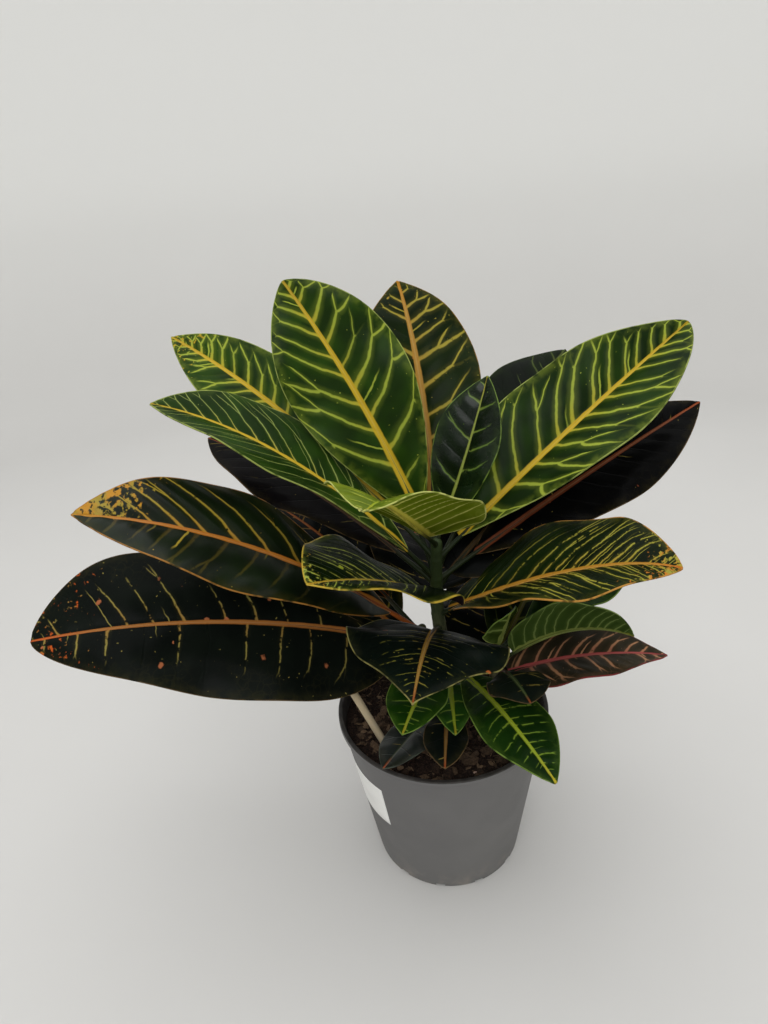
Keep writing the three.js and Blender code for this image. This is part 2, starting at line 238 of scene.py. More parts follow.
cutters = bmesh.new()
for i in range(NOTCH_COUNT):
    turn = Matrix.Rotation(2 * math.pi * (i + NOTCH_SHIFT) / NOTCH_COUNT, 4, "Z")
    size = Matrix.Diagonal((NOTCH_DEPTH, NOTCH_WIDTH, 2 * NOTCH_HEIGHT, 1))
    place = turn @ Matrix.Translation((POT_FOOT, 0, 0))
    bmesh.ops.create_cube(cutters, size=1, matrix=place @ size)
for i in range(DRAIN_COUNT):
    turn = Matrix.Rotation(2 * math.pi * (i + DRAIN_SHIFT) / DRAIN_COUNT, 4, "Z")
    bmesh.ops.create_cone(
        cutters, cap_ends=True, segments=32, radius1=DRAIN_RADIUS, radius2=DRAIN_RADIUS,
        depth=0.02, matrix=turn @ Matrix.Translation((DRAIN_RING, 0, FLOOR_RISE)),
    )
cutter = make_piece("pot_cutters", cutters)
cut = pot.modifiers.new("drains", "BOOLEAN")
cut.object = cutter
cut.operation = "DIFFERENCE"
cut.solver = "EXACT"
pot.data = applied(pot)
pot.data.set_sharp_from_angle(angle=math.radians(32))
bpy.data.objects.remove(cutter)
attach(pot, "root")
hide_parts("pot")


# The soil is a root ball of dark bark and peat. Its top is uneven and scattered with clods,
# flakes of bark and short fibres that lie as they fell, and one flake is bleached pale.
SOIL_TOP = 0.133
SOIL_BUMP = 0.0022
SOIL_STEPS = 240
SOIL_RINGS = 60
CLODS = 170
FLAKES = 1000
FIBRES = 220
FIBRE_WIDTH = 0.0008
FIBRE_THICKNESS = 0.0006
CLEARANCE = 0.0003


def soil_height(radius, turn):
    """The height of the soil's top: broad lumps, then crumbs."""
    lump = math.sin(3 * turn + radius / 0.009) * math.cos(2 * turn - radius / 0.013)
    place = Vector((radius * math.cos(turn), radius * math.sin(turn), 0))
    crumbs = 0.0020 * noise.noise(place / 0.006) + 0.0012 * noise.noise(place / 0.0022)
    return SOIL_TOP + SOIL_BUMP * lump * math.sin(radius / 0.011 + 1) + crumbs


def soil_finish():
    finish, tree, shader = new_finish("soil_bark", Roughness=0.92, Specular_IOR_Level=0.2)
    tone = lay(tree, "Attribute", attribute_name="tone", give="Fac")
    crumb = grain(tree, 700, 4)
    dark = blend(tree, ramp(tree, crumb, 0.35, 0.7), "#100b09", "#38281f")
    flake = blend(tree, crumb, "#35271e", "#8f765c")
    tint = blend(tree, ramp(tree, tone, 0.05, 0.8), dark, flake)
    tint = blend(tree, ramp(tree, tone, 0.97, 1.0), tint, "#d0b0a0")
    dress(tree, shader, tint, grain(tree, 1600, 3), 0.5, 0.0006)
    return finish


def lay_flake(bm, tone_layer, tone, radius, turn, long, wide, thick):
    """Drops one flake, of few faces, on the soil at a place, tilted as it came to rest."""
    pitch = Matrix.Rotation(random.gauss(0, 0.35), 4, "X")
    bank = Matrix.Rotation(random.gauss(0, 0.3), 4, "Y")
    yaw = Matrix.Rotation(random.uniform(0, 2 * math.pi), 4, "Z")
    rest = soil_height(radius, turn) + 0.3 * thick
    place = Matrix.Translation((radius * math.cos(turn), radius * math.sin(turn), rest))
    size = Matrix.Diagonal((long / 2, wide / 2, thick / 2, 1))
    form = place @ yaw @ pitch @ bank @ size
    made = bmesh.ops.create_icosphere(bm, subdivisions=1, radius=1, matrix=form)
    for vert in made["verts"]:
        vert.co += Vector([random.uniform(-0.12, 0.12) * wide for _ in range(3)])
        for face in vert.link_faces:
            face[tone_layer] = tone


def scatter(bm, tone_layer, count, lengths, draw_shape, draw_tone):
    """Drops a number of flakes all over the soil, each of a width, thickness and tone drawn."""
    for _ in range(count):
        long = random.uniform(*lengths)
        reach = soil_edge - 0.6 * long
        spot = (reach * math.sqrt(random.random()), random.uniform(0, 2 * math.pi))
        shape = draw_shape(long)
        lay_flake(bm, tone_layer, draw_tone(), *spot, long, *shape)


random.seed(4)
soil_floor = floor_top + CLEARANCE
soil_edge = pot_inner(SOIL_TOP) - 2 * CLEARANCE
soil_profile = [
    (0, POT_WALL + CLEARANCE),
    (FLOOR_CENTRE - 0.004, POT_WALL + CLEARANCE),
    (FLOOR_CENTRE - 0.002, soil_floor),
    (pot_inner(FLOOR_RISE) - CORNER - 2 * CLEARANCE, soil_floor),
    (pot_inner(soil_floor + CORNER) - 2 * CLEARANCE, soil_floor + CORNER),
    (pot_inner(SOIL_TOP - 0.002) - 2 * CLEARANCE, SOIL_TOP - 0.002),
    *[(soil_edge * (1 - i / SOIL_RINGS), SOIL_TOP) for i in range(SOIL_RINGS + 1)],
]
bm = bmesh.new()
tone_layer = bm.faces.layers.float.new("tone")
turned(bm, soil_profile, SOIL_STEPS)
for vert in bm.verts:
    if vert.co.z > SOIL_TOP - 0.001:
        vert.co.z = soil_height(vert.co.xy.length, math.atan2(vert.co.y, vert.co.x))
scatter(
    bm, tone_layer, CLODS, (0.007, 0.014),
    lambda long: (long * random.uniform(0.5, 0.8), random.uniform(0.002, 0.0045)),
    lambda: random.uniform(0, 0.5),
)
scatter(
    bm, tone_layer, FLAKES, (0.0022, 0.009),
    lambda long: (long * random.uniform(0.25, 0.6), random.uniform(0.0006, 0.0018)),
    lambda: random.random() ** 2 * 0.9,
)
scatter(
    bm, tone_layer, FIBRES, (0.006, 0.014),
    lambda long: (FIBRE_WIDTH, FIBRE_THICKNESS),
    lambda: random.uniform(0.4, 0.9),
)
lay_flake(bm, tone_layer, 1, 0.073, math.radians(-76), 0.009, 0.0045, 0.0012)
soil = make_piece("soil_bed", bm, soil_finish())
soil.data.set_sharp_from_angle(angle=math.radians(40))
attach(soil, "root")
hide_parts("soil")


# The stems are woody shoots, greenish brown bark below and green above, ringed by the scars of
# fallen leaves and swollen a little where a leaf stands. They grow up through the soil.
STEMS = {
    "main": {
        "points": [
            (0.008, 0.004, 0.091), (0.006, 0.003, 0.170), (0, 0.001, 0.240), (0.002, 0, 0.304),
        ],
        "radius": (0.007, 0.0044),
    },
    "left": {
        "points": [(-0.022, 0.014, 0.091), (-0.017, 0.011, 0.160), (-0.013, 0.007, 0.220)],
        "radius": (0.0052, 0.0036),
    },
    "right": {
        "points": [(0.036, -0.012, 0.091), (0.040, -0.016, 0.150), (0.044, -0.020, 0.210)],
        "radius": (0.0048, 0.0032),
    },
}
SCAR_EVERY = 0.0085
SCAR_HEIGHT = 0.0005
SCAR_TURN = 2.4
BARK_HEIGHT = 0.00025
STEM_ROWS = 150
STEM_SIDES = 24


def stem_walk(points, steps):
    """Points along the smooth curve through a stem's points, its ends carried straight on."""
    knots = [Vector(p) for p in points]
    knots = [2 * knots[0] - knots[1], *knots, 2 * knots[-1] - knots[-2]]
    walk = []
    for step in range(steps + 1):
        reach = step / steps * (len(knots) - 3)
        i = min(int(reach), len(knots) - 4)
        t = reach - i
        a, b, c, d = knots[i : i + 4]
        bent = (2 * a - 5 * b + 4 * c - d) * t**2
        twisted = (3 * b - a - 3 * c + d) * t**3
        walk.append(0.5 * (2 * b + (c - a) * t + bent + twisted))
    return walk


def bark_finish():
    finish, tree, shader = new_finish("stem_bark", Roughness=0.7, Specular_IOR_Level=0.3)
    place = lay(tree, "TexCoord", give="Object")
    height = lay(tree, "SeparateXYZ", place, give="Z")
    streaks = grain(tree, 1, 4, lay(tree, "Mapping", place, None, None, (900, 900, 160)))
    bark = blend(tree, ramp(tree, streaks, 0.3, 0.7), "#2c2a1c", "#57553a")
    green = blend(tree, grain(tree, 120), "#1e2a12", "#2f3f1a")
    tint = blend(tree, ramp(tree, height, 0.18, 0.27), bark, green)
    dress(tree, shader, tint, streaks, 0.4, 0.0006)
    return finish


def rod(bm, centre, radius, rows, sides, axes):
    """A round rod, closed at both ends: centre, radius and axes are functions of the share of
    its length, and its grid's own coordinates stay on it as its map."""
    share_map = bm.loops.layers.uv.verify()
    made = bmesh.ops.create_grid(bm, x_segments=sides, y_segments=rows, size=0.5)["verts"]
    faces = {face for vert in made for face in vert.link_faces}
    for face in faces:
        for loop in face.loops:
            loop[share_map].uv = (loop.vert.co.x + 0.5, loop.vert.co.y + 0.5)
    for vert in made:
        turn, share = -2 * math.pi * vert.co.x, vert.co.y + 0.5
        right, front = axes(share)
        spoke = right * math.cos(turn) + front * math.sin(turn)
        vert.co = centre(share) + spoke * radius(share, turn)
    bmesh.ops.remove_doubles(bm, verts=made, dist=1e-6)
    faces = [f for f in faces if f.is_valid]
    ends = {e for f in faces for e in f.edges if e.is_boundary}
    faces += bmesh.ops.holes_fill(bm, edges=list(ends), sides=0)["faces"]
    bmesh.ops.recalc_face_normals(bm, faces=faces)
    return faces


def make_stem(name, stem, finish):
    walk = stem_walk(stem["points"], STEM_ROWS)
    thick, thin = stem["radius"]

    def radius(share, turn):
        place = walk[round(share * STEM_ROWS)]
        scar = math.exp(-(((place.z / SCAR_EVERY) % 1 - 0.5) / 0.12) ** 2)
        rough = noise.noise(Vector((math.cos(turn), math.sin(turn), place.z / 0.004)))
        tip = math.sqrt(max(1 - max((share - 0.97) / 0.03, 0) ** 2, 0.04))
        side = 0.5 + 0.5 * math.cos(turn - SCAR_TURN * int(place.z / SCAR_EVERY))
        swelling = SCAR_HEIGHT * scar * side + BARK_HEIGHT * rough
        return (thick + (thin - thick) * share + swelling) * tip

    bm = bmesh.new()
    rod(
        bm, lambda share: walk[round(share * STEM_ROWS)], radius, STEM_ROWS, STEM_SIDES,
        lambda share: (Vector((1, 0, 0)), Vector((0, 1, 0))),
    )
    piece = make_piece("bark_of_" + name + "_stem", bm, finish)
    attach(piece, "root")
    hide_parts("stem_" + name)


bark = bark_finish()
for name, stem in STEMS.items():
    make_stem(name, stem, bark)


# The cane is a thin pale stick of split wood, pushed into the soil on the left at a slant. It
# is sawn off square and has weathered a little grey.
CANE_FOOT = Vector((-0.023, -0.042, 0.070))
CANE_TIP = Vector((-0.078, -0.024, 0.192))
CANE_RADIUS = 0.0031
CANE_ROWS = 60
CANE_SIDES = 20


def cane_finish():
    finish, tree, shader = new_finish("cane_wood", Roughness=0.75, Specular_IOR_Level=0.25)
    place = lay(tree, "UVMap", uv_map="UVMap")
    fibres = grain(tree, 1, 3, lay(tree, "Mapping", place, None, None, (26, 5, 1)))
    tint = blend(tree, ramp(tree, fibres, 0.3, 0.7), "#9c8b6e", "#cbbb9c")
    wear_and_shade = ramp(tree, grain(tree, 90), 0.45, 0.75)
    dress(tree, shader, blend(tree, wear_and_shade, tint, "#b3a893"), fibres, 0.35, 0.0005)
    return finish


def cane_radius(share, turn):
    place = Vector((3 * math.cos(turn), 9 * share, turn))
    return CANE_RADIUS * (1 + 0.05 * noise.noise(place))


cane_line = (CANE_TIP - CANE_FOOT).normalized()
cane_right = cane_line.orthogonal().normalized()
cane_front = cane_line.cross(cane_right)
bm = bmesh.new()
rod(
    bm, lambda share: CANE_FOOT.lerp(CANE_TIP, share), cane_radius, CANE_ROWS, CANE_SIDES,
    lambda share: (cane_right, cane_front),
)
cane = make_piece("cane_stick", bm, cane_finish())
cane.data.set_sharp_from_angle(angle=math.radians(50))
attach(cane, "root")
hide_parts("cane")


# The leaves are thick and leathery, each a petiole and blade grown as one, standing on a stem.
# A midrib stands out below, side veins run forwards from it and fork before the margin, and the
# blade is puffed up between them. Yellow, orange and red follow the veins and spill into spots.

# What leaves of one age share. Fold is how far their halves stand up and cup how far they bend
# back towards the margin, in degrees. The margin's waves, the petiole's length and radius
# (stalk), the blade's thickness and its puffing are in metres. Rough and coat are its shine.
AGES = {
    "bud": dict(
        fold=26, cup=20, wave=0.0015, petiole=0.012, stalk=0.0016, thick=0.0009, puff=0.0007,
        rough=0.26, coat=0.2,
    ),
    "young": dict(
        fold=22, cup=18, wave=0.0015, petiole=0.022, stalk=0.0021, thick=0.0010, puff=0.0010,
        coat=0.08,
    ),
    "gold": dict(fold=16, cup=16, wave=0.0020, petiole=0.026, stalk=0.0025, puff=0.0006, coat=0.05),
    "amber": dict(fold=20, cup=22, wave=0.0025, petiole=0.032, stalk=0.0026, puff=0.0007, coat=0.045),
    "dark": dict(fold=12, cup=20, wave=0.0030, petiole=0.036, stalk=0.0026, puff=0.0004, coat=0.035),
    "red": dict(fold=18, cup=16, wave=0.0020, petiole=0.030, stalk=0.0023, puff=0.0006, coat=0.06),
}
# What a leaf has where neither its age nor its own line says otherwise.
LEAF = dict(
    thick=0.0011, rough=0.36, sway=0, lean=0.5, widest=0.57, skew=0, point=0.82, curl=0,
    petiole_colour="#1c2614",
)
BASE_SHARPNESS = 0.66
CURL_FROM = 0.6
WAVES = 2.5
WAVE_HALF_WIDTH = 0.040
UNEVEN = 0.0007
THINNING = 0.8
PETIOLE_TAPER = 0.3
RIB_TIP = 0.14

# How a leaf is painted. Ground and flush are the blade's own tints and blush is what comes in
# towards its tip. Lengths are in metres and the other numbers are shares: spacing is the room
# between side veins at the base, close how they crowd towards the tip, slant how fast they run
# forwards, tilt by how much more they do on the right half, bend how they turn forwards on the
# way out, fork how wide they fork and fork_out how far out, reach how far out they stay painted,
# shown how many of them are, left_paint and base_paint how strongly on the left half and near
# the base, broken how often paint is missing on them, short how many short veins stand between
# them, and net the mesh near the edge. Undersides have plain veins that show to the edge.
EVEN = dict(tilt=0, left_paint=1, base_paint=1)
BELOW = dict(
    EVEN, close=0, bend=3, fork=0, fork_out=0.9, reach=1.5, shown=1.2, broken=0, short=0, mottle=0,
    spots=0, specks=0,
)
PAINTS = {
    "gold": dict(
        EVEN, ground="#172909", flush="#27420c", vein="#909c38", rib="#b89a28", blush="#a88c26",
        edge="#8f9a50", spot="#a89a34", spacing=0.0320, close=2.6, slant=0.5, bend=6, fork=1.2,
        fork_out=0.62, reach=1.3, shown=1, broken=0.12, vein_width=0.0024, rib_width=0.0045,
        short=0.25, net=0, mottle=0.1, spots=0.08, specks=0.3, halo=0.5, edge_width=0.0010,
    ),
    "amber": dict(
        EVEN, ground="#0a1207", flush="#121e0a", vein="#94802c", rib="#a86824", blush="#a87422",
        edge="#8a6a30", spot="#a0602c", spacing=0.0220, close=1.6, slant=0.6, bend=5, fork=0.8,
        fork_out=0.65, reach=1.1, shown=0.95, broken=0.28, vein_width=0.0018, rib_width=0.0038,
        short=0.4, net=0, mottle=0.2, spots=0.12, specks=0.1, halo=0.25, edge_width=0.0010,
        base_paint=0.45,
    ),
    "dark": dict(
        EVEN, ground="#080a09", flush="#0d110f", vein="#7c6e34", rib="#8a4c22", blush="#8a4020",
        edge="#5c4a30", spot="#9a5030", spacing=0.0220, close=1, slant=0.55, bend=3, fork=0.3,
        fork_out=0.7, reach=0.85, shown=0.6, broken=0.4, vein_width=0.0009, rib_width=0.0030,
        short=0.2, net=0.02, mottle=0.05, spots=0.12, specks=0.2, halo=0.1, edge_width=0.0008,
    ),
    "green": dict(
        EVEN, ground="#10220a", flush="#1b3810", vein="#66802c", rib="#8a9a26", blush="#9a8c24",
        edge="#6a8238", spot="#98a030", spacing=0.0130, close=1, slant=0.4, bend=4, fork=0.3,
        fork_out=0.7, reach=0.9, shown=0.9, broken=0.33, vein_width=0.0009, rib_width=0.0038,
        short=0.3, net=0.05, mottle=0.08, spots=0.03, specks=0.05, halo=0.25, edge_width=0.0009,
    ),
    "red": dict(
        EVEN, ground="#27241a", flush="#352f20", vein="#a87a58", rib="#a04a48", blush="#7c2c34",
        edge="#7a3030", spot="#94583a", spacing=0.0150, close=0.5, slant=0.45, tilt=-0.3, bend=9,
        fork=0.7, fork_out=0.6, reach=1.0, shown=1, broken=0.25, vein_width=0.0021,
        rib_width=0.0036, short=0.3, net=0.1, mottle=0.1, spots=0.1, specks=0.5, halo=0.2,
        edge_width=0.0012,
    ),
    # the olive underside is painted brighter: painted light, standing in for light shining through
    # the leaf
    "olive": dict(
        BELOW, ground="#2a3812", flush="#364618", vein="#64743a", rib="#707a3c", blush="#6a6a24",
        edge="#848e50", spot="#6a7a38", spacing=0.0090, slant=0.45, vein_width=0.0013,
        rib_width=0.0040, net=0.05, halo=0.5, edge_width=0.0012,
    ),
    "dusk": dict(
        BELOW, ground="#181314", flush="#22191b", vein="#382b28", rib="#463229", blush="#3c2624",
        edge="#463730", spot="#483028", spacing=0.0125, slant=0.5, vein_width=0.0011,
        rib_width=0.0034, net=0.1, halo=0.3, edge_width=0.0009,
    ),
}
UNDERSIDES = {
    "bud": "olive", "young": "olive", "gold": "olive",
    "amber": "dusk", "dark": "dusk", "red": "dusk",
}


class Field:
    """A number that changes over a leaf. Sums on it lay the nodes that work it out."""

    def __init__(self, tree, socket):
        self.tree = tree
        self.socket = socket

    def sum_with(self, operation, *others):
        return Field(self.tree, lay(self.tree, "Math", self, *others, operation=operation))

    __add__ = partialmethod(sum_with, "ADD")
    __sub__ = partialmethod(sum_with, "SUBTRACT")
    __mul__ = partialmethod(sum_with, "MULTIPLY")
    __truediv__ = partialmethod(sum_with, "DIVIDE")
    __pow__ = partialmethod(sum_with, "POWER")
    __abs__ = partialmethod(sum_with, "ABSOLUTE")
    floor = partialmethod(sum_with, "FLOOR")
    above = partialmethod(sum_with, "GREATER_THAN")
    at_least = partialmethod(sum_with, "MAXIMUM")

    def ramp(self, start, end):
        return Field(self.tree, ramp(self.tree, self, start, end))


def leaf_paint():
    """The painting that all leaves share: its inputs are what PAINTS gives, and a leaf's chance."""
    group = bpy.data.node_groups.new("leaf_paint", "ShaderNodeTree")
    for name, value in {**PAINTS["gold"], "chance": 0.0}.items():
        kind = "NodeSocketColor" if isinstance(value, str) else "NodeSocketFloat"
        group.interface.new_socket(name, in_out="INPUT", socket_type=kind)
    for name, kind in (("Colour", "Color"), ("Gloss", "Float"), ("Height", "Float")):
        group.interface.new_socket(name, in_out="OUTPUT", socket_type="NodeSocket" + kind)
    feeds = group.nodes.new("NodeGroupInput").outputs
    paints = {s.name: s for s in feeds if s.type == "RGBA"}
    f = {s.name: Field(group, s) for s in feeds if s.type == "VALUE"}

    def number(kind, *inputs, give, **settings):
        return Field(group, lay(group, kind, *inputs, give=give, **settings))

    share = lay(group, "UVMap", uv_map="UVMap")
    flat_place = lay(group, "UVMap", uv_map="flat")
    chance_shift = lay(group, "CombineXYZ", None, None, f["chance"])
    flat = lay(group, "VectorMath", flat_place, chance_shift, operation="ADD", give="Vector")
    across = abs(number("SeparateXYZ", flat_place, give="X"))
    up = number("SeparateXYZ", flat_place, give="Y")
    side = number("SeparateXYZ", share, give="X") * 2 - 1
    along = number("SeparateXYZ", share, give="Y")
    right = side.above(0)
    out = abs(side).at_least(0.02)

    def cloud(scale, detail=2):
        return Field(group, grain(group, scale, detail, flat))

    def chances(count, shift):
        """Three shares drawn at random for a numbered vein of one half of one leaf."""
        seed = lay(group, "CombineXYZ", count, right + shift, f["chance"])
        draws = lay(group, "TexWhiteNoise", seed, noise_dimensions="3D", give="Color")
        return [number("SeparateColor", draws, give=name) for name in ("Red", "Green", "Blue")]

    # side veins: each has a lane of its own, running forwards from the midrib, and its own place
    # in it, width, reach, fork and chance of showing
    slant = (f["slant"] + (right * 2 - 1) * f["tilt"]) * (up * 5 + 0.6)
    drift = (cloud(45) - 0.5) * 0.006 + (cloud(170) - 0.5) * 0.0016
    run = up - across * slant - across * across * f["bend"] + drift
    lanes = (run + run * run * f["close"]) / f["spacing"] + right * 0.4
    room = f["spacing"] / (run * f["close"] * 2 + 1)
    count = lanes.floor()
    place, rank, turn = chances(count, 0)
    forked = (out - f["fork_out"] - (turn - 0.5) * 0.4).at_least(0)
    off = lanes - count - 0.5 + (place - 0.5) * 0.3 + (turn - 0.5) * forked * 0.6
    gap = abs(abs(off) - forked ** 0.75 * f["fork"]) * room
    width = f["vein_width"] * (rank * 0.6 + 0.7) * (out * -0.5 + 1) + out.ramp(0.12, 0) * 0.0006
    far = f["reach"] * (rank * 0.5 + 0.6)
    painted = out.ramp(far, far - 0.25) * rank.ramp(f["shown"] * -1 + 1, f["shown"] * -1 + 1.08)
    painted = painted * cloud(150).ramp(f["broken"], f["broken"] + 0.1)
    lost_arm = (off * -1).above(0) * place.above(0.45) * forked.ramp(0, 0.05)
    half_paint = right * (f["left_paint"] * -1 + 1) + f["left_paint"]
    length_paint = along.ramp(0, 0.6) * (f["base_paint"] * -1 + 1) + f["base_paint"]
    painted = painted * (lost_arm * -0.9 + 1) * half_paint * length_paint
    veins = gap.ramp(width, width * 0.3) * painted
    halo = gap.ramp(width * 3.5, width * 0.5) * painted * f["halo"]

    # short veins half way between them
    between = lanes + 0.5
    short_count = between.floor()
    place, rank, turn = chances(short_count, 5)
    off = between - short_count - 0.5 + (place - 0.5) * 0.35 + out * (turn - 0.5) * 0.3
    thin = f["vein_width"] * (rank * 0.3 + 0.2)
    far = turn * 0.5 + 0.2
    short = (abs(off) * room).ramp(thin, thin * 0.3) * out.ramp(far, far - 0.2)
    short = short * rank.ramp(f["short"] * -1 + 1, f["short"] * -1 + 1.1)

    # the mesh of fine veins near the edge
    wander = lay(group, "TexNoise", flat, 240, 2, give="Color")
    bent = lay(group, "VectorMath", wander, (0.004, 0.004, 0.004), flat, operation="MULTIPLY_ADD",
               give="Vector")
    cells = number("TexVoronoi", bent, 150, feature="DISTANCE_TO_EDGE", give="Distance")
    net = cells.ramp(0.09, 0.02) * out.ramp(0.45, 0.85) * cloud(45).ramp(0.4, 0.6) * f["net"]

    # round spots, specks, and the mottling that spills over the tip
    def scattered(scale, share_of, least, most):
        """Dots of a scale, on a share of the cells they stand in, between two sizes."""
        near = number("TexVoronoi", bent, scale, feature="F1", give="Distance")
        lot = lay(group, "TexVoronoi", bent, scale, feature="F1", give="Color")
        size = number("SeparateColor", lot, give="Green") * (most - least) + least
        chosen = number("SeparateColor", lot, give="Red").ramp(share_of + 0.001, share_of)
        return near.ramp(size, size * 0.6) * chosen

    dots = scattered(62, f["spots"] * (along + 0.3), 0.05, 0.19)
    specks = scattered(330, f["specks"] * 0.5, 0.08, 0.24) * cloud(60).ramp(0.45, 0.6)
    spill = cloud(260, 3) * 0.9 + (along.ramp(0.62, 1) + out * 0.2) * f["mottle"] * half_paint
    mottle = spill.ramp(0.74, 0.84)

    # the midrib's band, tinted towards the tip, and the pale edge
    band_width = f["rib_width"] * (along * -0.72 + 1) * (cloud(130) * 0.35 + 0.83)
    band = across.ramp(band_width, band_width * 0.65)
    core = across.ramp(band_width * 0.35, 0)
    from_edge = across / out - across
    edge = from_edge.ramp(f["edge_width"], f["edge_width"] * 0.3) * cloud(90).ramp(0.3, 0.55)

    def over(under, amount, top):
        return blend(group, amount, under, top)

    glow = blend(group, 0.3, paints["flush"], paints["vein"])
    tint = over(paints["ground"], cloud(26).ramp(0.35, 0.7) * 0.8, paints["flush"])
    fringe = from_edge.ramp(0.009, 0) * cloud(120).ramp(0.3, 0.65) * f["halo"] * 1.6
    tint = over(tint, halo.at_least(fringe), glow)
    tint = over(tint, net, paints["vein"])
    tint = over(tint, specks, paints["vein"])
    tint = over(tint, short, paints["vein"])
    vein_tint = over(paints["vein"], out.ramp(0.4, 0) * 0.5, paints["rib"])
    tint = over(tint, veins, vein_tint)
    tint = over(tint, mottle, over(paints["vein"], cloud(95).ramp(0.4, 0.6), paints["blush"]))
    tint = over(tint, dots, paints["spot"])
    rib_tint = over(paints["rib"], along.ramp(0.8, 1), paints["blush"])
    rib_tint = over(rib_tint, core * 0.2, blend(group, 0.3, paints["rib"], "#fff2c0"))
    tint = over(tint, band, rib_tint)
    tint = over(tint, edge, paints["edge"])
    grooves = gap.ramp(f["vein_width"] * 1.4, 0) * out.ramp(1, 0.6)
    height = cloud(900) * 0.12 - grooves * 0.35 - across.ramp(band_width, 0) * 0.3
    gloss = cloud(60, 3) * 0.16

    exit_node = group.nodes.new("NodeGroupOutput")
    for name, socket in (("Colour", tint), ("Gloss", gloss.socket), ("Height", height.socket)):
        group.links.new(socket, exit_node.inputs[name])
    return group


LEAF_PAINT = leaf_paint()


def leaf_finish(name, chance, values, rough, coat):
    finish, tree, shader = new_finish(
        name, Specular_IOR_Level=coat / 2, Coat_Weight=coat, Coat_Roughness=0.2
    )
    painting = tree.nodes.new("ShaderNodeGroup")
    painting.node_tree = LEAF_PAINT
    for key, value in {**values, "chance": chance}.items():
        painting.inputs[key].default_value = paint(value) if isinstance(value, str) else value
    gloss = lay(tree, "Math", painting.outputs["Gloss"], rough - 0.08, operation="ADD")
    colour, height = painting.outputs["Colour"], painting.outputs["Height"]
    dress(tree, shader, colour, height, 0.55, 0.0012, gloss)
    return finish


def stalk_finish(name, petiole, rib):
    """A petiole's colour, which runs into the midrib's under the blade."""
    finish, tree, shader = new_finish(name, Roughness=0.42, Specular_IOR_Level=0.12)
    share = lay(tree, "SeparateXYZ", lay(tree, "UVMap", uv_map="UVMap"), give="Y")
    tint = blend(tree, ramp(tree, share, 0.1, 0.3), petiole, rib)
    # painted shade: a darker olive mottle, mixed in at nearly half, darkens the whole stalk
    shade = blend(tree, ramp(tree, grain(tree, 110), 0.3, 0.75), tint, "#2c3018")
    wear_and_shade = blend(tree, 0.45, tint, shade)
    dress(tree, shader, wear_and_shade, grain(tree, 700), 0.25, 0.0004)
    return finish


class Midrib:
    """The bowed line of a leaf, from its stem to its tip, and the leaf's own directions on it."""

    def __init__(self, leaf):
        stem = STEMS[leaf["stem"]]
        walk = stem_walk(stem["points"], 200)
        self.foot = min(walk, key=lambda p: abs(p.z - leaf["at"]))
        self.tip = Vector(leaf["tip"])
        reach = self.tip - self.foot
        heading = math.atan2(reach.y, reach.x)
        self.side = Vector((math.sin(heading), -math.cos(heading), 0))
        self.bend = self.foot.lerp(self.tip, leaf["lean"]) + leaf["sway"] * self.side
        self.bend += Vector((0, 0, leaf["bow"]))
        self.length = reach.length
        self.petiole = leaf["petiole"] / self.length
        self.roll = -math.radians(leaf["roll"])

    def point(self, t):
        return (1 - t) ** 2 * self.foot + 2 * t * (1 - t) * self.bend + t**2 * self.tip

    def directions(self, t):
        """Along the midrib, across the blade to its right, and out of its upper face."""
        tangent = (1 - t) * (self.bend - self.foot) + t * (self.tip - self.bend)
        tangent.normalize()
        right = (self.side - tangent * self.side.dot(tangent)).normalized()
        turn = Matrix.Rotation(self.roll, 3, tangent)
        return tangent, turn @ right, turn @ right.cross(tangent)


def outline(leaf, along, side):
    """Half the blade's width, as a share of its greatest, from its base to its tip."""
    widest = leaf["widest"] + math.copysign(leaf["skew"], side)
    swell = math.log(0.5) / math.log(widest)
    sharpness = BASE_SHARPNESS + (leaf["point"] - BASE_SHARPNESS) * along
    return max(math.sin(math.pi * along**swell), 0) ** sharpness


def half_width(leaf, along, side):
    return max(leaf["width"] / 2 * outline(leaf, along, side), 0.0004)


def puffing(leaf, values, up, across, side):
    """How far the blade stands out between its side veins, which run where they are painted."""
    slant = (values["slant"] + math.copysign(values["tilt"], side)) * (5 * up + 0.6)
    run = up - across * slant - across**2 * values["bend"]
    phase = (run + run**2 * values["close"]) / values["spacing"] + (0.4 if side > 0 else 0)
    swell = math.sin(math.pi * (phase - 0.5)) ** 2
    ease = min(abs(side) / 0.15, 1) * (1 - side**4)
    return leaf["puff"] * ease * (swell - 0.4)


def tip_curl(leaf, along):
    """How far the leaf has curled down from its bow, more and more towards its tip."""
    steady = min(max((along - CURL_FROM) / (1 - CURL_FROM), 0), 1)
    return leaf["curl"] * (steady**2 * (3 - 2 * steady)) ** 2


def blade_point(leaf, values, rib, along, side):
    """A point of the blade, along from its base to its tip and from margin (-1) to margin (1)."""
    t = rib.petiole + (1 - rib.petiole) * along
    tangent, right, face = rib.directions(t)
    half = half_width(leaf, along, side)
    out = abs(side)
    lift = math.radians(leaf["fold"] - leaf["cup"] * out / 2)
    beat = math.sin(2 * math.pi * WAVES * along + (0.8 if side > 0 else 2.6))
    ripple = leaf["wave"] * half / WAVE_HALF_WIDTH * out**2 * beat
    rough = UNEVEN * out * noise.noise(Vector((9 * along, 2 * side, 90 * leaf["at"])))
    up = along * (1 - rib.petiole) * rib.length
    puff = puffing(leaf, values, up, out * half, side)
    spot = rib.point(t) + right * math.copysign(out * half * math.cos(lift), side)
    height = out * half * math.sin(lift) + ripple + rough + puff - tip_curl(leaf, along)
    return spot + face * height


ROW_LENGTH = 0.0021
FEWEST_ROWS = 24
COLUMNS = 36
CROWDING = 1.35
PETIOLE_ROWS = 14
STALK_SIDES = 12


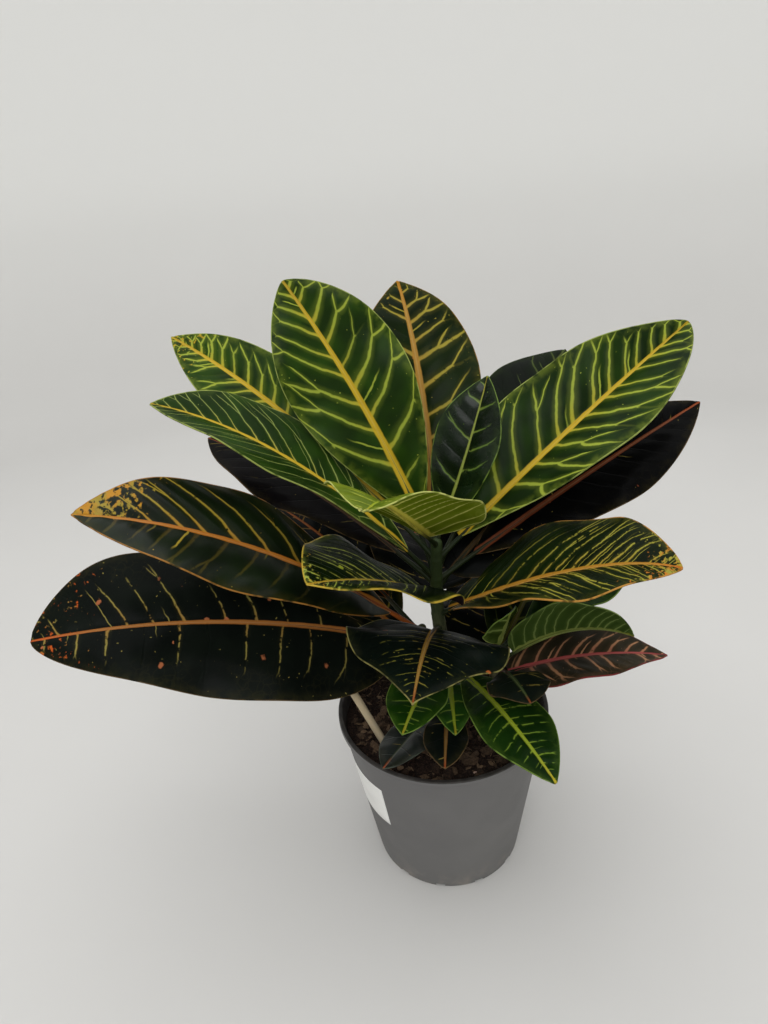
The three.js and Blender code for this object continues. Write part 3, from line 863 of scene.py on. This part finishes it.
def make_leaf(leaf, values, upper, under, stalk):
    rib = Midrib(leaf)
    blade_length = (1 - rib.petiole) * rib.length
    rows = max(int(blade_length / ROW_LENGTH), FEWEST_ROWS)
    bm = bmesh.new()
    share_map = bm.loops.layers.uv.new("UVMap")
    flat_map = bm.loops.layers.uv.new("flat")
    bmesh.ops.create_grid(bm, x_segments=COLUMNS, y_segments=rows, size=0.5)
    places = {}
    for vert in bm.verts:
        # columns crowd towards the margins, and rows a little towards base and tip
        side = math.sin(2 * vert.co.x * CROWDING) / math.sin(CROWDING)
        share = vert.co.y + 0.5
        along = 0.6 * share + 0.4 * (1 - math.cos(math.pi * share)) / 2
        places[vert] = (along, side)
    for face in bm.faces:
        for loop in face.loops:
            along, side = places[loop.vert]
            loop[share_map].uv = (0.5 + side / 2, along)
            loop[flat_map].uv = (side * half_width(leaf, along, side), along * blade_length)
    for vert, (along, side) in places.items():
        vert.co = blade_point(leaf, values, rib, along, side)
    blade = make_piece("leaf_" + leaf["name"] + "_blade", bm, upper, under, stalk)
    shell = blade.modifiers.new("thickness", "SOLIDIFY")
    shell.thickness = THINNING * leaf["thick"]
    shell.offset = 0
    shell.use_even_offset = True
    shell.material_offset = 1
    solid = applied(blade)

    # the petiole runs on under the blade as its midrib, thinner and thinner
    bm = bmesh.new()
    bm.from_mesh(solid)
    stalk_rows = PETIOLE_ROWS + rows // 3

    def centre(share):
        sunk = min(max((share - rib.petiole) / 0.12, 0), 1)
        along = (share - rib.petiole) / (1 - rib.petiole)
        drop = 0.6 * sunk * radius(share, 0) + tip_curl(leaf, along)
        return rib.point(share) - rib.directions(share)[2] * drop

    def radius(share, turn):
        swollen = 0.45 * math.exp(-((share * rib.length / 0.004) ** 2))
        if share < rib.petiole:
            return leaf["stalk"] * (1 - PETIOLE_TAPER * share / rib.petiole + swollen)
        along = (share - rib.petiole) / (1 - rib.petiole)
        return leaf["stalk"] * (RIB_TIP + (1 - PETIOLE_TAPER - RIB_TIP) * (1 - along) ** 1.3)

    def axes(share):
        return rib.directions(share)[1:]

    for face in rod(bm, centre, radius, stalk_rows, STALK_SIDES, axes):
        face.material_index = 2
        face.smooth = True
    bm.to_mesh(blade.data)
    bm.free()
    bpy.data.meshes.remove(solid)
    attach(blade, "root")
    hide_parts("leaf_" + leaf["name"])


def leaf(name, age, stem, at, tip, bow, width, roll, kind=None, under=(), **others):
    """A leaf of the plant: its form, its paints above and its paints below. It stands at a height
    on its stem, and its midrib bows on the way to its tip. Others may be any value of AGES, how
    far the bow sways, its highest place (lean), where the blade is widest and by how much its
    halves differ in that (skew), how pointed its tip is and how far it curls, the petiole's
    colour, and the paints that differ from those of its kind, which is its age unless another
    is named. Under are those that differ below."""
    form = {**LEAF, **AGES[age]}
    form.update({key: others.pop(key) for key in form if key in others})
    form.update(name=name, age=age, stem=stem, at=at, tip=tip, bow=bow, width=width, roll=roll)
    values = {**PAINTS[kind or age], **others}
    lanes = {key: values[key] for key in ("spacing", "close", "slant", "tilt", "bend")}
    shade = {**PAINTS[UNDERSIDES[age]], **lanes, **dict(under)}
    return form, values, shade


LEAVES = [
    # top of the main stem
    leaf("crown_left", "gold", "main", 0.292, (-0.100, 0.060, 0.499), 0.015, 0.097, 52, sway=0.012,
         point=0.7, slant=0.66, tilt=-0.2, fork_out=0.66, close=2),
    leaf("crown_back", "amber", "main", 0.280, (-0.011, 0.130, 0.484), 0.030, 0.099, 0, sway=0.012,
         widest=0.53, ground="#101a08", flush="#18260a", slant=0.4, tilt=-0.1, spots=0.2,
         specks=0.4, vein="#908432", vein_width=0.0024, fork=0.8, rib="#a27a36", rib_width=0.0054,
         spacing=0.028, fork_out=0.6, mottle=0.16, base_paint=1),
    leaf("crown_small", "bud", "main", 0.300, (0.048, 0.025, 0.423), 0, 0.056, -25, sway=0.006,
         kind="green", ground="#081407", flush="#0f200b", rib="#808a3a", vein="#566c2c", short=0,
         vein_width=0.0012, rib_width=0.0022, bend=10, spacing=0.017, shown=0.8),
    leaf("crown_right", "gold", "main", 0.283, (0.209, 0.054, 0.446), 0.008, 0.106, -30, fold=32,
         widest=0.52, skew=-0.08, point=0.7, ground="#122208", flush="#20370b", slant=0.48,
         tilt=-0.08, fork=1, fork_out=0.64, spacing=0.030),
    leaf("crown_front", "young", "main", 0.297, (-0.046, -0.127, 0.402), 0.005, 0.103, 0, fold=26,
         widest=0.36, skew=0.1, lean=0.68, curl=0.010, kind="green", ground="#4a5c12",
         flush="#6c7a1e", vein="#a8ac44", edge="#b4b868", short=0, vein_width=0.0007, net=0,
         mottle=0, specks=0,
         # its yellow-green underside is painted brighter still: painted light shining through the
         # leaf
         under=dict(ground="#505f0f", flush="#64721a", vein="#a9ac56", rib="#b0a842",
                    edge="#bcbc6e", vein_width=0.0016, rib_width=0.0066, halo=0.3)),
    # below the crown, going round
    leaf("upper_left", "gold", "main", 0.284, (-0.205, 0.110, 0.455), 0.034, 0.074, 34,
         petiole=0.034, spacing=0.026, fork=1.1, fork_out=0.5, vein_width=0.0024, mottle=0.25),
    leaf("upper_right", "dark", "main", 0.264, (0.232, 0.070, 0.375), 0.008, 0.078, -34,
         ground="#050505", flush="#090909", rib="#6a3822", shown=0.06, spots=0.3, rib_width=0.0036),
    leaf("upper_back_right", "amber", "main", 0.274, (0.132, 0.120, 0.416), 0.030, 0.084, -10,
         ground="#0e130d", vein="#3e4a24", rib="#4c4a24", edge="#4a5234", shown=0.6,
         blush="#3e4a24", spot="#4a5a2c", mottle=0),
    leaf("middle_left", "gold", "main", 0.266, (-0.197, 0, 0.428), 0.052, 0.076, 14, fold=24,
         spacing=0.023, close=1.6, slant=0.95, vein_width=0.0012, rib_width=0.0034, fork=0.7,
         short=0.4, vein="#7f8c48", blush="#a8922e", halo=0.2),
    leaf("shaded_left", "dark", "main", 0.261, (-0.183, 0.086, 0.371), 0.026, 0.080, 4,
         ground="#100e0f", flush="#161315", shown=0.2, rib="#5c4430"),
    leaf("middle_front_left", "amber", "main", 0.250, (-0.091, -0.083, 0.320), 0.016, 0.122, 3,
         fold=23, widest=0.46, petiole=0.008, skew=0.06, kind="green", ground="#0a1405",
         flush="#122208", spacing=0.0095, slant=0.8, shown=0.6, vein="#a0aa48", edge="#bca03c",
         edge_width=0.0022, rib="#b09430", rib_width=0.0046, blush="#b8922c", mottle=0.26,
         broken=0.36, specks=0.6, halo=0.4),
    leaf("middle_front_right", "amber", "main", 0.233, (0.148, -0.103, 0.323), 0.029, 0.104, -10,
         fold=26, petiole=0.008, lean=0.68, widest=0.5, skew=-0.08, ground="#0b1406",
         flush="#142208", spacing=0.0135, close=0.8, slant=0.85, fork=0.6, fork_out=0.55,
         vein="#948e36", vein_width=0.0014, rib="#a07226", short=0.8, mottle=0.3, blush="#b46a22",
         edge="#b0803c", edge_width=0.0014, rib_width=0.0044, shown=0.9, broken=0.34,
         base_paint=0.15),
    # a back leaf, its colours painted near black: painted shade of the plant's dark middle behind the
    # stem
    leaf("middle_back_right", "dark", "main", 0.256, (0.146, 0.104, 0.324), 0.029, 0.096, -30,
         petiole=0.016, widest=0.42, ground="#060807", flush="#0a0d0b", rib="#4a3a24", shown=0.1,
         spots=0),
    leaf("back_high", "amber", "main", 0.267, (-0.062, 0.172, 0.392), 0.040, 0.084, 0),
    leaf("back_middle", "dark", "main", 0.246, (0.012, 0.160, 0.245), 0.020, 0.118, -4,
         petiole=0.012, widest=0.42),
    leaf("lower_front", "dark", "main", 0.218, (-0.028, -0.117, 0.244), 0.034, 0.120, 6,
         widest=0.38, point=1.2, petiole=0.030, ground="#090f0b", flush="#0f1812", rib="#8f6c30",
         edge="#86804a", shown=0.8, spacing=0.011, broken=0.5, short=0.8, specks=0.6, spots=0.4,
         vein="#74722f", edge_width=0.0013, spot="#b0602c", vein_width=0.0009),
    leaf("hanging_right", "gold", "main", 0.184, (0.065, -0.128, 0.178), 0.022, 0.056, 0,
         kind="green", ground="#0f2308", flush="#18330c", blush="#b0a02a", mottle=0.12,
         spacing=0.010, vein_width=0.0008, broken=0.4),
    leaf("low_green_left", "gold", "main", 0.196, (-0.036, -0.100, 0.204), 0.010, 0.046, 0,
         kind="green", ground="#163209", flush="#20400d"),
    leaf("low_green_front", "young", "main", 0.174, (0.003, -0.080, 0.181), 0.018, 0.032, 0,
         kind="green", ground="#1c3c10", flush="#2a4c18"),
    leaf("soil_left", "dark", "main", 0.146, (-0.052, -0.096, 0.170), 0.006, 0.034, 0, coat=0.3,
         ground="#141a17", flush="#1c2420", rib="#2c3428", edge="#3c4438", shown=0.2),
    leaf("soil_front", "dark", "main", 0.158, (-0.008, -0.105, 0.175), 0.008, 0.034, 0,
         ground="#0d120f", flush="#141c17", rib="#7c5a2c"),
    # left stem
    leaf("broad_left", "amber", "left", 0.212, (-0.240, -0.066, 0.376), 0.048, 0.088, 30,
         widest=0.55, skew=0.05, puff=0.0011, coat=0.15, petiole_colour="#a0501c", slant=0.6,
         tilt=0.3, spacing=0.030, close=1.2, fork=0.4, fork_out=0.75, vein_width=0.0024, short=0.15,
         mottle=0.38, blush="#b07c20", edge="#9c6c2e", halo=0.1, left_paint=0.12, base_paint=0.12),
    leaf("lowest_left", "dark", "left", 0.198, (-0.304, -0.046, 0.268), 0.040, 0.124, 36,
         widest=0.52, petiole=0.020, skew=0.17, point=0.6, petiole_colour="#8c3a30",
         ground="#0a0e0b", flush="#101510", slant=0.12, tilt=0.17, spacing=0.030, close=0.6,
         shown=0.9, vein="#857a3e", vein_width=0.0011, rib="#96602e", blush="#b0501e",
         spot="#9c5c3a", spots=0.7, specks=0.5, mottle=0.2, rib_width=0.0034, base_paint=0.7),
    leaf("back_left", "dark", "left", 0.208, (-0.150, 0.112, 0.300), 0.030, 0.084, 0),
    leaf("low_back_left", "amber", "left", 0.184, (-0.092, 0.118, 0.203), 0.014, 0.082, 0),
    # right stem
    leaf("middle_right", "gold", "right", 0.204, (0.158, 0.010, 0.255), 0.024, 0.060, 0,
         kind="green", shown=0.4),
    leaf("olive_right", "young", "right", 0.192, (0.150, -0.032, 0.221), 0.038, 0.072, 38, fold=42,
         widest=0.4, petiole=0.016, kind="green", spacing=0.0085,
         # its underside is painted lighter: painted light shining through the leaf
         under=dict(ground="#2a3a15", flush="#34461c", vein="#5c6c38", vein_width=0.0009,
                    edge="#727e4a", edge_width=0.0008)),
    leaf("red_right", "red", "right", 0.180, (0.178, -0.032, 0.200), 0.020, 0.074, 0, widest=0.36,
         petiole=0.012),
    leaf("small_olive", "young", "right", 0.207, (0.054, -0.030, 0.250), 0, 0.046, 0, petiole=0.010,
         kind="green"),
    leaf("low_back_right", "amber", "right", 0.186, (0.128, 0.104, 0.228), 0.028, 0.072, 0,
         petiole=0.020, widest=0.42, rib="#4c4a1e", vein="#5a6428", edge="#4a5230"),
    leaf("low_back", "dark", "right", 0.178, (0.060, 0.124, 0.188), 0.034, 0.098, 0, widest=0.38,
         petiole=0.025),
    leaf("small_dark_right", "dark", "right", 0.190, (0.056, -0.090, 0.214), 0.014, 0.048, 0,
         petiole=0.024, ground="#111712", flush="#182018", rib="#3c4a28", shown=0.2),
]
for i, (form, values, shade) in enumerate(LEAVES):
    name = form["name"]
    make_leaf(
        form, values,
        leaf_finish(name + "_upper", i * 0.37, values, form["rough"], form["coat"]),
        leaf_finish(name + "_under", i * 0.37, shade, 0.5, 0),
        stalk_finish(name + "_stalk", form["petiole_colour"], shade["rib"]),
    )


# The label is a plain white film sticker on the pot's left front, its face bare. It follows the
# wall, and one corner has begun to lift.
LABEL_WIDTH = 0.074
LABEL_HEIGHT = 0.044
LABEL_TOP = 0.111
LABEL_THICKNESS = 0.0005
LABEL_LIFT = 0.004
LABEL_MIDDLE = math.radians(201)


def label_film():
    finish, tree, shader = new_finish("label_film", Specular_IOR_Level=0.5)
    speck = ramp(tree, grain(tree, 60), 0.35, 0.75)
    tint = blend(tree, speck, "#f4f4f1", "#ebebe8")
    rough = lay(tree, "MapRange", grain(tree, 40), 0.3, 0.7, 0.32, 0.45)
    dress(tree, shader, tint, grain(tree, 120), 0.15, 0.0006, rough)
    return finish


bm = bmesh.new()
bmesh.ops.create_grid(bm, x_segments=32, y_segments=18, size=0.5)
for vert in bm.verts:
    x, y = vert.co.xy
    lifted = max(-x - y - 0.75, 0) * LABEL_LIFT
    z = LABEL_TOP - LABEL_HEIGHT * (0.5 - y)
    turn = LABEL_MIDDLE + LABEL_WIDTH / pot_outer(LABEL_TOP) * x
    radius = pot_outer(z) + CLEARANCE + lifted
    vert.co = (radius * math.cos(turn), radius * math.sin(turn), z)
bmesh.ops.recalc_face_normals(bm, faces=bm.faces)
label = make_piece("label_sticker", bm, label_film())
film = label.modifiers.new("film", "SOLIDIFY")
film.thickness = LABEL_THICKNESS
film.offset = 1
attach(label, "root")
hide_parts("label")


# The stage: a pale seamless cove, curved up into a wall all round, and soft studio light.
COVE_RADIUS = 1.5
COVE_BEND = 0.5
COVE_HEIGHT = 1.3


def cove_finish():
    finish, tree, shader = new_finish("cove_paint", Roughness=0.9, Specular_IOR_Level=0.1)
    height = lay(tree, "SeparateXYZ", lay(tree, "TexCoord", give="Object"), give="Z")
    tint = blend(tree, grain(tree, 3), "#cdccca", "#d2d1cf")
    # painted light: the wall is painted lighter than the floor, more so higher up, making up for the
    # light it misses
    tint = blend(tree, ramp(tree, height, 0.05, 0.7), tint, "#e6e6e4")
    tree.links.new(tint, shader.inputs["Base Color"])
    return finish


bm = bmesh.new()
cove_profile = [(0, 0), (COVE_RADIUS, 0)]
cove_profile += quarter(COVE_RADIUS, COVE_BEND, COVE_BEND, -90, 16)[1:]
turned(bm, cove_profile + [(COVE_RADIUS + COVE_BEND, COVE_HEIGHT)], 96)
cove = make_piece("cove", bm, cove_finish())

world = bpy.data.worlds.new("studio")
world.use_nodes = True
world.node_tree.nodes["Background"].inputs["Color"].default_value = paint("#f3f3f1")
world.node_tree.nodes["Background"].inputs["Strength"].default_value = 0.75
bpy.context.scene.world = world


def soft_light(name, place, aim, size, watts):
    light = bpy.data.lights.new(name, "AREA")
    light.shape = "DISK"
    light.size = size
    light.energy = watts
    lamp = bpy.data.objects.new(name, light)
    lamp.location = place
    lamp.rotation_euler = (Vector(aim) - Vector(place)).to_track_quat("-Z", "Y").to_euler()
    bpy.context.scene.collection.objects.link(lamp)


soft_light("overhead", (0.0, 0.2, 1.9), (0, 0, 0), 2.2, 17)
soft_light("front", (-0.2, -1.4, 1.5), (0, 0, 0.1), 1, 9)


# The camera stands where the photograph was taken from: above the plant's shoulder, tilted down
# at it and a little to one side. Pixels are of the photograph's frame.
PHOTO_WIDTH = 768
PHOTO_HEIGHT = 1024
FOCAL_PIXELS = 688
LENS_MIDDLE = (384, 474)
SENSOR = 36
EYE = Vector((-0.035, -0.476, 0.556))
PITCH = math.radians(22.3)
ROLL = math.radians(-4.4)

ahead = Vector((0, math.cos(PITCH), -math.sin(PITCH)))
level = Vector((1, 0, 0))
above = level.cross(ahead)
to_right = math.cos(ROLL) * level + math.sin(ROLL) * above
to_top = math.cos(ROLL) * above - math.sin(ROLL) * level
camera = bpy.data.objects.new("camera", bpy.data.cameras.new("camera"))
facing = Matrix((to_right, to_top, -ahead)).transposed().to_4x4()
camera.matrix_world = Matrix.Translation(EYE) @ facing
camera.data.sensor_width = SENSOR
camera.data.lens = FOCAL_PIXELS / PHOTO_HEIGHT * SENSOR
camera.data.shift_x = (PHOTO_WIDTH / 2 - LENS_MIDDLE[0]) / PHOTO_HEIGHT
camera.data.shift_y = (LENS_MIDDLE[1] - PHOTO_HEIGHT / 2) / PHOTO_HEIGHT
bpy.context.scene.collection.objects.link(camera)
bpy.context.scene.camera = camera
bpy.context.scene.view_settings.view_transform = "Standard"
